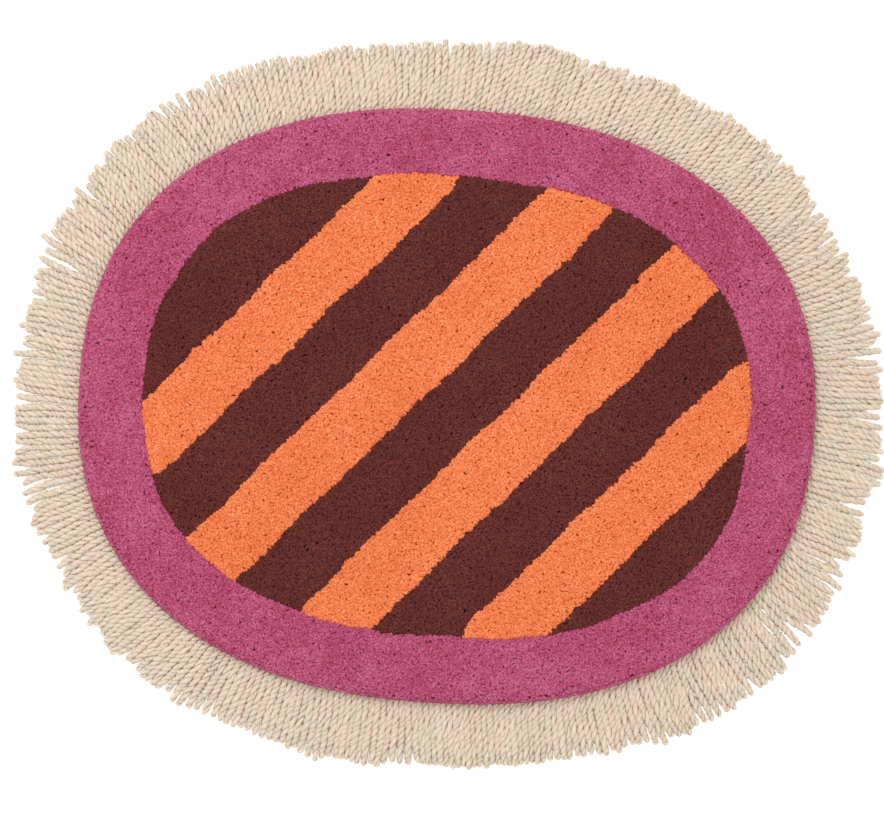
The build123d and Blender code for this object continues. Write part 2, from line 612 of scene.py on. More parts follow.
MAGENTA_PILE = PileFinish(
    "magenta_cut_pile",
    light=(0.58, 0.165, 0.285),
    middle=(0.455, 0.08, 0.17),
    dark=(0.34, 0.038, 0.098),
    root=(0.27, 0.025, 0.07),
    blotch=0.8,
)
ORANGE_PILE = PileFinish(
    "orange_cut_pile",
    light=(0.93, 0.335, 0.15),
    middle=(0.835, 0.225, 0.08),
    dark=(0.70, 0.14, 0.045),
    root=(0.56, 0.075, 0.02),
    blotch=0.6,
)
MAROON_PILE = PileFinish(
    "maroon_cut_pile",
    light=(0.175, 0.048, 0.04),
    middle=(0.125, 0.028, 0.024),
    dark=(0.08, 0.015, 0.014),
    root=(0.045, 0.008, 0.008),
    blotch=0.6,
)
CREAM_CORD = CordFinish(
    "cream_cotton_cord",
    light=(0.79, 0.67, 0.545),
    warm=(0.755, 0.59, 0.47),
    green=(0.71, 0.63, 0.495),
    pale=(0.88, 0.81, 0.71),
    shade_and_mottle=(0.36, 0.235, 0.15),
)
BINDING_YARN = CordFinish(
    "whipped_edge_yarn",
    light=(0.42, 0.09, 0.15),
    warm=(0.34, 0.06, 0.11),
    green=(0.36, 0.075, 0.10),
    pale=(0.45, 0.11, 0.17),
    shade_and_mottle=(0.16, 0.02, 0.04),
)
COTTON_THREAD = CordFinish(
    "cotton_thread",
    light=(0.78, 0.70, 0.56),
    warm=(0.70, 0.60, 0.46),
    green=(0.66, 0.60, 0.46),
    pale=(0.82, 0.75, 0.62),
    shade_and_mottle=(0.30, 0.24, 0.16),
)
TUFTING_CANVAS = WovenFinish(
    "tufting_canvas", light=(0.66, 0.60, 0.48), dark=(0.36, 0.31, 0.23), thread=1.5 * MM, depth=0.25 * MM
)
HEADER_WEAVE = WovenFinish(
    "header_weave", light=(0.76, 0.66, 0.51), dark=(0.44, 0.36, 0.25), thread=1.0 * MM, depth=0.2 * MM,
    sheen=0.15,
)
LATEX_COAT = LatexFinish("latex_coat", light=(0.74, 0.70, 0.60), dark=(0.60, 0.55, 0.44))


def dress(piece: bpy.types.Object, slot: Slot, material: bpy.types.Material, *nodes: str) -> bpy.types.Object:
    """Gives a finished piece its material and its body, and hides the CAD nodes that it replaces.

    Args:
        piece: The mesh object.
        slot: The record's slot that the finish belongs to; not used.
        material: The node material.
        nodes: The CAD nodes that it replaces.

    Returns:
        The same piece.
    """
    piece.data.materials.append(material)
    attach(piece, BODY)
    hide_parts(*nodes)
    LOG.info("%s: %d vertices, replaces %s", piece.name, len(piece.data.vertices), ", ".join(nodes))
    return piece


# ---------------------------------------------------------------- the mat's plan


def half_size(*nodes: str) -> tuple[float, float]:
    """Half the length and half the width of some CAD nodes together.

    Args:
        nodes: The nodes' names.

    Returns:
        The two halves of the box round them, along X and Y.
    """
    boxes = [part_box(n) for n in nodes]
    low, high = np.min([b[0] for b in boxes], axis=0), np.max([b[1] for b in boxes], axis=0)
    return float(high[0] - low[0]) / 2, float(high[1] - low[1]) / 2


@dataclass(frozen=True)
class Stripes:
    """The field's slanting stripes, with the unevenness of tufting by hand."""

    names: tuple[str, ...]
    width: float = 44.7 * MM
    angle: float = math.radians(47.8)
    offset: float = -7.0 * MM
    corner_reach: float = 13.0 * MM
    ragged: float = 0.32 * MM
    sway: float = 1.1 * MM
    sway_length: float = 110 * MM
    ripple: float = 0.5 * MM
    ripple_length: float = 13 * MM

    def across(self) -> np.ndarray:
        """Unit vector square to the stripes."""
        return np.array([-math.sin(self.angle), math.cos(self.angle)])

    def colour_edge(self, k: int, run: np.ndarray) -> np.ndarray:
        """Where the colour changes below a stripe.

        Args:
            k: The stripe's number from the upper left.
            run: Distances along the stripes.

        Returns:
            The edge's place across the stripes at each distance.
        """
        straight = ((len(self.names) - 2) / 2 - k) * self.width
        sway = Wobble(SWAY_SEED + k, self.sway, self.sway_length).at(run)
        return straight + sway + Wobble(RIPPLE_SEED + k, self.ripple, self.ripple_length, 2).at(run)

    def place(
        self, points: np.ndarray, depth: np.ndarray, outward: np.ndarray
    ) -> tuple[np.ndarray, np.ndarray, np.ndarray]:
        """Finds each point's stripe.

        Args:
            points: Places in the row frame.
            depth: How far inside the field each one is.
            outward: The field's outward direction at each one.

        Returns:
            The stripe's number from the upper left, the distance to the nearest colour edge, and
            which way across the stripes that edge lies, as -1 or 1.
        """
        run, across = turned(points, -self.angle).T.copy()
        across -= self.offset
        across += np.random.default_rng(RAGGED_SEED).normal(0, self.ragged, len(points))
        number = np.zeros(len(points), int)
        nearest = np.full(len(points), 1.0)
        side = np.ones(len(points))
        # An orange stripe's sharp corners are rounded off where they meet the border.
        near = np.maximum(self.corner_reach - depth, 0)
        turning = outward @ self.across() * near**2 / (2 * self.corner_reach)
        for k in range(len(self.names) - 1):
            rounding = np.minimum(turning, 0) if k % 2 == 0 else np.maximum(turning, 0)
            line = self.colour_edge(k, run) + rounding
            number += across < line
            gap = line - across
            side = np.where(np.abs(gap) < nearest, np.sign(gap), side)
            nearest = np.minimum(nearest, np.abs(gap))
        return number, nearest, side


@dataclass
class Plan:
    """Outlines and heights of the whole mat, taken from the CAD frame."""

    stripes: Stripes
    pile_power: float = 2.3
    field_power: float = 2.37
    field_turn: float = math.radians(-0.7)

    def __post_init__(self) -> None:
        """Reads the outlines and heights from the CAD boxes."""
        self.pile = Oval(*half_size("pile_border"), self.pile_power)
        self.field = Oval(*half_size(*self.stripes.names), self.field_power, self.field_turn)
        self.pile_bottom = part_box("pile_border")[0].z
        self.pile_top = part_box("pile_border")[1].z


# ---------------------------------------------------------------- pile


@dataclass
class Tufts:
    """Cut tufts of pile yarn: where each one stands and how it leans.

    The profile gives each ring's height and width, as shares of the tuft's height and radius.
    """

    root: np.ndarray
    height: np.ndarray
    lean: np.ndarray
    radius: np.ndarray
    shade: np.ndarray
    bottom: float
    sides: int = 6
    profile: tuple[tuple[float, float], ...] = ((0.0, 1.1), (0.87, 1.44), (0.965, 0.9))
    two_lobes: float = 0.32
    three_lobes: float = 0.1
    lobe_range: tuple[float, float] = (0.92, 1.08)
    twist: float = 0.5
    bend: float = 1.7
    unevenness: float = 0.12
    tip_spread: float = 0.3

    def subset(self, chosen: np.ndarray) -> "Tufts":
        """Picks out some of the tufts.

        Args:
            chosen: Whether each tuft is picked.

        Returns:
            The picked tufts.
        """
        root, height, lean = self.root[chosen], self.height[chosen], self.lean[chosen]
        return Tufts(root, height, lean, self.radius[chosen], self.shade[chosen], self.bottom)

    def vertices(self, rng: np.random.Generator) -> np.ndarray:
        """Places every tuft's vertices: its rings from the root up, then its tip.

        Args:
            rng: Seeded randomness for the tufts' shapes.

        Returns:
            The places, as (tufts, vertices, 3).
        """
        count, angle = len(self.root), corner_angles(self.sides)
        spin = rng.uniform(0, FULL_TURN, (count, 3))
        lobes = 1 + self.two_lobes * np.cos(2 * (angle - spin[:, 1:2]))
        lobes = lobes + self.three_lobes * np.cos(3 * (angle - spin[:, 2:3]))
        lobes = lobes * rng.uniform(*self.lobe_range, lobes.shape)
        points = np.empty((count, len(self.profile) * self.sides + 1, 3))
        for r, (share, width) in enumerate(self.profile):
            heading = angle + spin[:, 0:1] + self.twist * share
            reach = self.radius[:, None] * width * lobes
            bend = self.lean * share**self.bend
            uneven = rng.uniform(-self.unevenness, self.unevenness, reach.shape) * MM if share > 0 else 0.0
            ring = points[:, r * self.sides : (r + 1) * self.sides]
            ring[..., 0] = self.root[:, 0:1] + bend[:, 0:1] + reach * np.cos(heading)
            ring[..., 1] = self.root[:, 1:2] + bend[:, 1:2] + reach * np.sin(heading)
            ring[..., 2] = self.bottom + share * self.height[:, None] + uneven
        tip = rng.uniform(-self.tip_spread, self.tip_spread, (count, 2)) * MM
        points[:, -1, :2] = self.root + self.lean + tip
        points[:, -1, 2] = self.bottom + self.height
        return points

    def faces(self) -> list[np.ndarray]:
        """Joins the vertices up into walls, caps that meet at the tip, and flat soles.

        Returns:
            The faces, as rows of vertex numbers.
        """
        rings, corner = len(self.profile), np.arange(self.sides)
        top, tip = (rings - 1) * self.sides, rings * self.sides
        shift = (np.arange(len(self.root)) * (tip + 1))[:, None, None]
        walls = grid_faces(rings, self.sides, False)[None] + shift
        caps = np.stack([top + corner, top + (corner + 1) % self.sides, np.full(self.sides, tip)], axis=1)
        soles = corner[::-1][None, :] + shift[:, 0]
        return [walls.reshape(-1, 4), (caps[None] + shift).reshape(-1, 3), soles]

    def build(self, name: str, rng: np.random.Generator) -> bpy.types.Object:
        """Makes one mesh of closed tufts.

        Args:
            name: The piece's name.
            rng: Seeded randomness for the tufts' shapes.

        Returns:
            The mesh object, with shade and deep at its vertices.
        """
        points = self.vertices(rng)
        count, size = points.shape[:2]
        piece = mesh_from(name, points.reshape(-1, 3), self.faces())
        # This value is painted shade: full low on each tuft, fading to none near its top and at its tip.
        fall = np.repeat([1 - share for share, _ in self.profile], self.sides)
        deep = np.concatenate([np.clip(fall * 2.0 - 0.06, 0, 1), [0.0]])
        set_values(piece, shade=np.repeat(self.shade, size), deep=np.tile(deep, count))
        return piece


@dataclass
class Pile:
    """The whole cut pile: border and stripes, tuft by tuft."""

    plan: Plan
    spacing: float = 1.83 * MM
    jitter: float = 0.7 * MM
    tuft_radius: float = 1.24 * MM
    rim: float = 7.0 * MM
    rim_inset: float = 1.0 * MM
    rim_tufts: int = 1000
    rim_drop: float = 0.42
    rim_lean: float = 0.8 * MM
    carve: float = 1.7 * MM
    carve_drop: float = 1.1 * MM
    carve_lean: float = 0.5 * MM
    field_sway: float = 1.1 * MM
    field_sway_length: float = 140 * MM
    field_radius: float = 230 * MM
    tip_room: float = 0.5 * MM
    swell: float = 0.2 * MM
    swell_lengths: tuple[float, ...] = (90 * MM, 47 * MM, 23 * MM)
    height_spread: float = 0.14 * MM
    lean_spread: float = 0.3 * MM
    radius_range: tuple[float, float] = (0.86, 1.14)
    shade: tuple[float, float] = (0.5, 0.22)
    # Painted light on the tufts near the rim, and painted shade on the carved tufts along the colour edges.
    rim_painted_light: float = 0.25
    carve_painted_shade: float = 0.15
    border_sectors: int = 8

    def sites(self, rng: np.random.Generator) -> np.ndarray:
        """Finds where tufts stand: an uneven close-packed grid, and one row along the pile's outline.

        Args:
            rng: Seeded randomness.

        Returns:
            The places, one row each.
        """
        row = self.spacing * math.sqrt(3) / 2
        across = int(self.plan.pile.half_length / self.spacing) + 3
        up = int(self.plan.pile.half_width / row) + 3
        i, j = np.meshgrid(np.arange(-across, across + 1), np.arange(-up, up + 1), indexing="ij")
        points = np.stack([(i + 0.5 * (j % 2)) * self.spacing, j * row], axis=-1).reshape(-1, 2)
        points = points + rng.normal(0, self.jitter / 2, points.shape)
        inner = points[self.plan.pile.depth(points) > self.rim_inset + 0.5 * self.spacing]
        return np.concatenate([inner, self.plan.pile.stations(self.rim_tufts, -self.rim_inset)[0]])

    def rise(self, root: np.ndarray, rng: np.random.Generator) -> np.ndarray:
        """Finds how the pile's top rises and falls in soft mounds.

        Args:
            root: Where the tufts stand.
            rng: Seeded randomness.

        Returns:
            The rise at each tuft, to be scaled by the swell.
        """
        rise = np.zeros(len(root))
        for k, length in enumerate(self.swell_lengths):
            turn = rng.uniform(0, FULL_TURN, 3)
            heading, crossing = turned(root, -turn[0]).T.copy()
            wave = np.sin(heading * FULL_TURN / length + turn[1])
            rise += wave * np.sin(crossing * FULL_TURN / (length * 1.3) + turn[2]) * 0.75**k
        return rise

    def stand(self, rng: np.random.Generator) -> tuple[Tufts, np.ndarray]:
        """Stands every tuft and gives it a colour.

        Args:
            rng: Seeded randomness.

        Returns:
            The tufts, and each one's stripe number, or -1 in the border.
        """
        root, plan = self.sites(rng), self.plan
        bearing = np.arctan2(root[:, 1], root[:, 0])
        sway = Wobble(FIELD_SEED, self.field_sway, self.field_sway_length).at(bearing * self.field_radius)
        field_depth = plan.field.depth(root) + sway
        field_out = plan.field.outward(root)
        number, nearest, side = plan.stripes.place(root, field_depth, field_out)
        inside = field_depth > 0
        edge = np.minimum(np.abs(field_depth), np.where(inside, nearest, 1.0))
        carved = np.clip(1 - edge / self.carve, 0, 1) ** 1.5
        by_stripe = (inside & (nearest < np.abs(field_depth)))[:, None]
        from_border = field_out * np.where(inside, -1, 1)[:, None]
        away = np.where(by_stripe, -side[:, None] * plan.stripes.across(), from_border)
        rim = np.clip(1 - plan.pile.depth(root) / self.rim, 0, 1)
        rise = self.rise(root, rng)
        height = (plan.pile_top - plan.pile_bottom) * (1 - self.rim_drop * rim**2.2) - self.tip_room
        height += self.swell * rise + rng.normal(0, self.height_spread, len(root)) - self.carve_drop * carved
        lean = plan.pile.outward(root) * (self.rim_lean * rim**1.5)[:, None]
        lean += away * (self.carve_lean * carved)[:, None]
        lean += rng.normal(0, self.lean_spread, root.shape)
        radius = self.tuft_radius * rng.uniform(*self.radius_range, len(root))
        # Each tuft's random tone, paler with painted light near the rim and darker with painted shade where
        # it is carved.
        shade = rng.normal(*self.shade, len(root)) + self.rim_painted_light * rim - self.carve_painted_shade * carved
        tufts = Tufts(root, height, lean, radius, np.clip(shade, 0, 1), plan.pile_bottom)
        return tufts, np.where(inside, number, -1)

    def build(self, finishes: dict[str, bpy.types.Material]) -> list[bpy.types.Object]:
        """Makes the border's sectors and every stripe.

        Args:
            finishes: The pile materials, by colour name.

        Returns:
            The pile's pieces.
        """
        rng = np.random.default_rng(PILE_SEED)
        tufts, stripe = self.stand(rng)
        pieces = []
        bearing = np.arctan2(tufts.root[:, 1], tufts.root[:, 0]) % FULL_TURN
        sector = (bearing * self.border_sectors / FULL_TURN).astype(int)
        for k in range(self.border_sectors):
            piece = tufts.subset((stripe < 0) & (sector == k)).build(f"border_pile_{k + 1}", rng)
            pieces.append(dress(piece, Slot.MAGENTA, finishes["magenta"], "pile_border"))
        for k, node in enumerate(self.plan.stripes.names):
            colour = node.split("_")[0]
            slot = Slot.MAROON if colour == "maroon" else Slot.ORANGE
            piece = tufts.subset(stripe == k).build(f"{node}_pile", rng)
            pieces.append(dress(piece, slot, finishes[colour], node))
        return pieces


# ---------------------------------------------------------------- fringe


@dataclass
class Fringe:
    """Bullion fringe: two-ply twisted cotton loops, side by side all round the mat.

    Each lean and each unevenness of the reach is the number of cords that share it and its size in
    millimetres, and each wave is its count along a cord and its size in millimetres. Each drift of
    the twist is its length in metres and its angle.
    """

    plan: Plan
    nodes: tuple[str, ...]
    per_node: int = 10
    base_inset: float = 1.2 * MM
    ply_thick: float = 1.3 * MM
    ply_wide: float = 1.7 * MM
    ply_offset: float = 1.12 * MM
    plump_range: tuple[float, float] = (0.96, 1.04)
    slub: float = 0.085
    slub_rings: float = 2.4
    lay: float = 9.6 * MM
    lay_range: tuple[float, float] = (0.94, 1.06)
    first_turn: float = 0.35
    twist_drifts: tuple[tuple[float, float], ...] = ((28 * MM, 0.9), (13 * MM, 0.5))
    reach_at_ends: float = 44.8 * MM
    reach_at_sides: float = 46.7 * MM
    combed: tuple[float, float] = (1.0 * MM, 0.8 * MM)
    reach_uneven: tuple[tuple[float, float], ...] = ((6.0, 1.5), (1.2, 1.0))
    reach_spread: float = 0.7
    stray_share: float = 0.05
    stray_range: tuple[float, float] = (1.5, 4.0)
    loose_at_sides: float = 0.9
    looser_at_ends: float = 1.5
    leans: tuple[tuple[float, float], ...] = ((16.0, 1.5), (5.0, 2.4))
    own_lean: tuple[float, float] = (1.2, 1.1)
    slant: float = 2.6
    slant_uneven: tuple[float, float] = (14.0, 1.6)
    slant_within: float = 0.16
    waves: tuple[tuple[float, float], ...] = ((1.2, 0.45), (2.2, 0.4), (3.8, 0.25))
    bob_share: float = 0.45
    press: float = 0.8
    press_rounds: int = 60
    lift_rounds: int = 4
    header_lift: float = 1.0 * MM
    rest_gap: float = 0.06 * MM
    floor_gap: float = 0.02 * MM
    settle: float = 0.7
    firm_from: float = 0.72
    firm_within: float = 0.2
    tone: tuple[float, float] = (0.4, 0.28)
    # Painted shade: how dark a cord is painted between its plies, and low on its flanks by depth below its
    # middle.
    shade_between_plies: float = 0.66
    flank_depths: tuple[float, ...] = (-1.0, 0.45, 0.58, 0.75)
    flank_painted_shade: tuple[float, ...] = (0.08, 0.96, 0.9, 0.3)
    steps: int = 46
    turn_steps: int = 5
    sides: int = 7

    def shares(self) -> np.ndarray:
        """Even steps from 0 at a cord's root to 1 at its loop."""
        return np.linspace(0, 1, self.steps)

    def girth(self) -> np.ndarray:
        """How thick a cord is along its length: squeezed in the header, plump at the loop."""
        u = self.shares()
        return 0.9 + 0.15 * np.minimum(u / 0.7, 1) - 0.06 * np.clip((u - 0.8) / 0.2, 0, 1)

    @staticmethod
    def rough(rng: np.random.Generator, count: int, width: float) -> np.ndarray:
        """Random numbers of spread 1 that neighbours share.

        Args:
            rng: Seeded randomness.
            count: How many numbers the ring has.
            width: How many neighbours lie in one group.

        Returns:
            The numbers, in order round the ring.
        """
        here = np.arange(count)
        bell = np.exp(-0.5 * (np.minimum(here, count - here) / width) ** 2)
        values = np.fft.irfft(np.fft.rfft(rng.normal(0, 1, count)) * np.fft.rfft(bell), count)
        return values / values.std()

    def uneven(
        self, rng: np.random.Generator, count: int, groups: Sequence[tuple[float, float]]
    ) -> np.ndarray:
        """Unevenness of several widths added up.

        Args:
            rng: Seeded randomness.
            count: How many cords the ring has.
            groups: How many cords share each part, and its size.

        Returns:
            One number for each cord, in the sizes' own unit.
        """
        return sum(size * self.rough(rng, count, group) for group, size in groups)

    def wander(self, rng: np.random.Generator, loose: np.ndarray) -> tuple[np.ndarray, np.ndarray]:
        """How each cord leans, waves and bobs if nothing is beside it.

        Args:
            rng: Seeded randomness.
            loose: How freely each cord wanders.

        Returns:
            The sideways offset and the lift at each step, in metres.
        """
        count, u = len(loose), self.shares()[None, :]
        lean = self.uneven(rng, count, self.leans)
        lean = (lean + loose * self.uneven(rng, count, [self.own_lean]))[:, None]
        slant = MM * (self.slant + self.uneven(rng, count, [self.slant_uneven]))[:, None]
        side = lean * MM * u**1.35 - slant * (1 - np.exp(-u / self.slant_within))
        bob = np.zeros_like(side)
        for waves, size in self.waves:
            turn = rng.uniform(0, FULL_TURN, (2, count, 1))
            pace = FULL_TURN * waves * rng.uniform(0.8, 1.2, (count, 1)) * u
            side += size * MM * loose[:, None] * np.sin(pace + turn[0]) * np.clip(u / 0.3, 0, 1)
            bob += self.bob_share * size * MM * (1 + np.sin(pace + turn[1])) * np.clip(u / 0.2, 0, 1)
        return side, bob

    def spread(
        self, rng: np.random.Generator, pitch: np.ndarray, loose: np.ndarray
    ) -> tuple[np.ndarray, np.ndarray]:
        """How far the cords are pushed sideways and lifted over each other, all along.

        Args:
            rng: Seeded randomness.
            pitch: Distance from each cord to the next at each step, if all stood straight out.
            loose: How freely each cord wanders.

        Returns:
            The sideways offset and the lift at each step, in metres.
        """
        side, bob = self.wander(rng, loose)
        width = 2 * (self.ply_offset + self.ply_thick) * self.girth()[None, :]
        for _ in range(self.press_rounds):
            gap = pitch + np.roll(side, -1, axis=0) - side
            push = 0.5 * np.maximum(self.press * width - gap, 0)
            side += np.roll(push, 1, axis=0) - push
            even_out(side)
            side[:, 0] = 0
        crowd = np.maximum(width - (pitch + np.roll(side, -1, axis=0) - side), 0)
        rank = rng.uniform(size=(len(pitch), 1))
        over = crowd * (rank > np.roll(rank, -1, axis=0))
        over += np.roll(crowd, 1, axis=0) * (rank > np.roll(rank, 1, axis=0))
        for _ in range(self.lift_rounds):
            even_out(over)
        return side, 0.8 * over * np.clip(self.shares()[None, :] * 3, 0, 1) + bob

    def lines(self, rng: np.random.Generator) -> tuple[np.ndarray, np.ndarray, np.ndarray]:
        """Each cord's centre line.

        Args:
            rng: Seeded randomness.

        Returns:
            The points along each cord, the sideways direction and each cord's length.
        """
        count = len(self.nodes) * self.per_node
        base, out = self.plan.pile.stations(count, -self.base_inset)
        side_way = np.stack([-out[:, 1], out[:, 0]], axis=1)
        loose = self.loose_at_sides + self.looser_at_ends * out[:, 0] ** 2
        reach = self.reach_at_ends * out[:, 0] ** 2 + self.reach_at_sides * out[:, 1] ** 2
        reach += out @ np.array(self.combed) + self.base_inset
        reach += self.uneven(rng, count, self.reach_uneven) * MM
        reach += rng.normal(0, self.reach_spread, count) * loose * MM
        # A few cords stand out some millimetres further.
        stray = rng.uniform(size=count) < self.stray_share
        reach += np.where(stray, rng.uniform(*self.stray_range, count), 0) * MM
        u = self.shares()
        straight = base[:, None] + out[:, None] * (reach[:, None] * u)[..., None]
        pitch = np.linalg.norm(np.roll(straight, -1, axis=0) - straight, axis=-1)
        side, lift = self.spread(rng, pitch, loose)
        line = np.empty((count, self.steps, 3))
        line[..., :2] = straight + side_way[:, None] * side[..., None]
        lowest = self.ply_offset + self.ply_thick + self.rest_gap
        line[..., 2] = lowest + self.header_lift * np.exp(-u * 6) + lift
        way = np.gradient(line, axis=1)
        way[..., 2] = 0
        way /= np.linalg.norm(way, axis=-1, keepdims=True)
        sideways = np.stack([-way[..., 1], way[..., 0], np.zeros_like(way[..., 0])], axis=-1)
        return line, sideways, reach

    def twist(
        self, rng: np.random.Generator, line: np.ndarray, sideways: np.ndarray, reach: np.ndarray
    ) -> tuple[np.ndarray, np.ndarray]:
        """Each cord's yarn: out along one ply, round the loop and back along the other.

        Args:
            rng: Seeded randomness.
            line: The points along each cord's centre line.
            sideways: The direction across the cord at each point.
            reach: Each cord's length.

        Returns:
            The points along each yarn, and the direction from the centre line to each.
        """
        along = np.gradient(line, axis=1)
        along /= np.linalg.norm(along, axis=-1, keepdims=True)
        upward = np.cross(along, sideways)
        run = reach[:, None] * self.shares()
        lay = self.lay * rng.uniform(*self.lay_range, (len(line), 1))
        phase = FULL_TURN * (run - run[:, -1:]) / lay
        phase += rng.uniform(-self.first_turn, self.first_turn, (len(line), 1))
        for length, swing in self.twist_drifts:
            phase += swing * np.sin(FULL_TURN * run / length + rng.uniform(0, FULL_TURN, (len(line), 1)))
        lead = np.cos(phase)[..., None] * sideways + np.sin(phase)[..., None] * upward
        arm = (self.ply_offset * self.girth()[None, :])[..., None] * lead
        bow = np.linspace(0, np.pi, self.turn_steps + 2)[1:-1][None, :, None]
        turn_lead = np.cos(bow) * lead[:, -1:] + np.sin(bow) * along[:, -1:]
        turn_line = line[:, -1:] + self.ply_offset * turn_lead
        path = np.concatenate([line + arm, turn_line, (line - arm)[:, ::-1]], axis=1)
        return path, np.concatenate([lead, turn_lead, -lead[:, ::-1]], axis=1)

    def flesh(
        self, rng: np.random.Generator, path: np.ndarray, leads: np.ndarray, angle: np.ndarray
    ) -> np.ndarray:
        """Rings of vertices round each yarn: slubby, flatter along the plies and round at the loop.

        Args:
            rng: Seeded randomness.
            path: The points along each yarn.
            leads: The direction from the centre line to each point.
            angle: The angles of a ring's corners.

        Returns:
            The places, as (cords, rings, corners, 3).
        """
        count, rings = path.shape[:2]
        first, second = tube_frames(path, leads, False)
        girth = self.girth()
        plump = np.concatenate([girth, np.full(self.turn_steps, girth[-1]), girth[::-1]])
        slub = self.slub * self.rough(rng, count * rings, self.slub_rings).reshape(count, rings, 1, 1)
        plump = plump[None, :, None, None] * (rng.uniform(*self.plump_range, (count, 1, 1, 1)) + slub)
        turning = np.sin(np.pi * np.clip((np.arange(rings) - self.steps + 3) / (self.turn_steps + 5), 0, 1))
        wide = (self.ply_wide - (self.ply_wide - self.ply_thick) * turning)[None, :, None, None]
        shape = self.ply_thick * np.cos(angle)[:, None] * first[:, :, None, :]
        shape = shape + wide * np.sin(angle)[:, None] * second[:, :, None, :]
        return path[:, :, None, :] + plump * shape

    def settle_down(self, points: np.ndarray, line: np.ndarray, sideways: np.ndarray) -> np.ndarray:
        """Widens each cord's lower half in place, as soft cotton does on a floor, and keeps it off the floor.

        Args:
            points: The vertices, as (cords, rings, corners, 3).
            line: The points along each cord's centre line.
            sideways: The direction across the cord at each point.

        Returns:
            How far below its cord's middle each vertex was, as a share of the cord's radius.
        """
        loop = np.full(self.turn_steps, self.steps - 1)
        fold = np.concatenate([np.arange(self.steps), loop, np.arange(self.steps)[::-1]])
        middle, across = line[:, fold, None, :], sideways[:, fold, None, :]
        depth = (middle[..., 2] - points[..., 2]) / (self.ply_offset + self.ply_thick)
        # The loops keep their shape, and the cords at the mat's two ends, which lie looser, yield less.
        firm = np.clip((fold / (self.steps - 1) - self.firm_from) / self.firm_within, 0, 1)[None, :, None]
        free = np.abs(line[:, -1, 0]) / np.abs(line[:, -1, 0]).max()
        yielding = self.settle * (1 - firm) * (1 - 0.6 * free**4)[:, None, None]
        widening = ((points - middle) * across).sum(axis=-1) * yielding * np.clip(depth + 0.3, 0, 1)
        points += widening[..., None] * across
        points[..., 2] = np.maximum(points[..., 2], self.floor_gap)
        return depth

    def build(self, material: bpy.types.Material) -> list[bpy.types.Object]:
        """Makes the cords, one piece for each CAD node.

        Args:
            material: The cord's material.

        Returns:
            The fringe's pieces.
        """
        rng = np.random.default_rng(FRINGE_SEED)
        line, sideways, reach = self.lines(rng)
        path, leads = self.twist(rng, line, sideways, reach)
        angle = corner_angles(self.sides)
        points = self.flesh(rng, path, leads, angle)
        depth = self.settle_down(points, line, sideways)
        count, rings = path.shape[:2]
        stretches = np.linalg.norm(np.diff(path, axis=1), axis=-1)
        yarn_run = np.concatenate([np.zeros((count, 1)), np.cumsum(stretches, axis=1)], axis=1)
        tone = np.clip(rng.normal(*self.tone, count), 0, 1)
        # Painted shade between the plies and low on a cord's flanks, but not on its underside.
        flank = np.interp(depth, self.flank_depths, self.flank_painted_shade)
        inner = np.maximum(self.shade_between_plies * (0.5 - 0.5 * np.cos(angle)), flank)
        faces = rod_faces(self.per_node, rings, self.sides)
        pieces = []
        for k, node in enumerate(self.nodes):
            own = slice(k * self.per_node, (k + 1) * self.per_node)
            piece = mesh_from(f"{node}_cords", points[own].reshape(-1, 3), faces)
            set_values(
                piece,
                shade=np.repeat(tone[own], rings * self.sides),
                along=np.repeat(yarn_run[own].ravel(), self.sides),
                around=np.tile(angle, self.per_node * rings),
                inner=inner[own],
            )
            pieces.append(dress(piece, Slot.FRINGE, material, node))
        return pieces


# ---------------------------------------------------------------- edge and underside


@dataclass
class EdgeBinding:
    """Whipped yarn that covers the seam between the pile and the fringe."""

    plan: Plan
    node: str = "edge_binding"
    radius: float = 0.85 * MM
    wrap: float = 1.15 * MM
    wrap_bulge: float = 0.13
    stations: int = 5200
    sides: int = 8

    def build(self, material: bpy.types.Material) -> bpy.types.Object:
        """Makes the ring of wrapped yarn.

        Args:
            material: The yarn's material.

        Returns:
            The piece.
        """
        low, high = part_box(self.node)
        outward = (high.x - low.x) / 2 - self.plan.pile.half_length - self.radius
        place, out = self.plan.pile.stations(self.stations, outward)
        line = np.column_stack([place, np.full(self.stations, (low.z + high.z) / 2)])
        first, second = tube_frames(line, np.column_stack([out, np.zeros(self.stations)]), True)
        step = np.linalg.norm(np.diff(line, axis=0), axis=1).mean()
        wraps = round(self.stations * step / self.wrap)
        angle = corner_angles(self.sides)
        phase = FULL_TURN * wraps * np.arange(self.stations) / self.stations
        bulge = 1 + self.wrap_bulge * np.cos(phase[:, None] + angle[None, :])
        shape = np.cos(angle)[None, :, None] * first[:, None] + np.sin(angle)[None, :, None] * second[:, None]
        points = line[:, None] + self.radius * bulge[..., None] * shape
        faces = grid_faces(self.stations, self.sides, True)
        piece = mesh_from("whipped_edge", points.reshape(-1, 3), [faces])
        tone = np.random.default_rng(BINDING_SEED).uniform(0.2, 0.8, self.stations)
        # The inner value paints shade where the yarn dips between its wraps.
        set_values(
            piece,
            shade=np.repeat(tone, self.sides),
            along=np.repeat(np.arange(self.stations) * step, self.sides),
            around=np.tile(angle, self.stations),
            inner=np.clip(1.15 - bulge, 0, 0.3) * 2.2,
        )
        LOG.info("edge binding: %d wraps", wraps)
        return dress(piece, Slot.BINDING, material, self.node)


@dataclass(frozen=True)
class Layer:
    """One ring of vertices of a flat layer: inset from the pile's outline, scale and height."""

    inset: float
    scale: float
    height: float


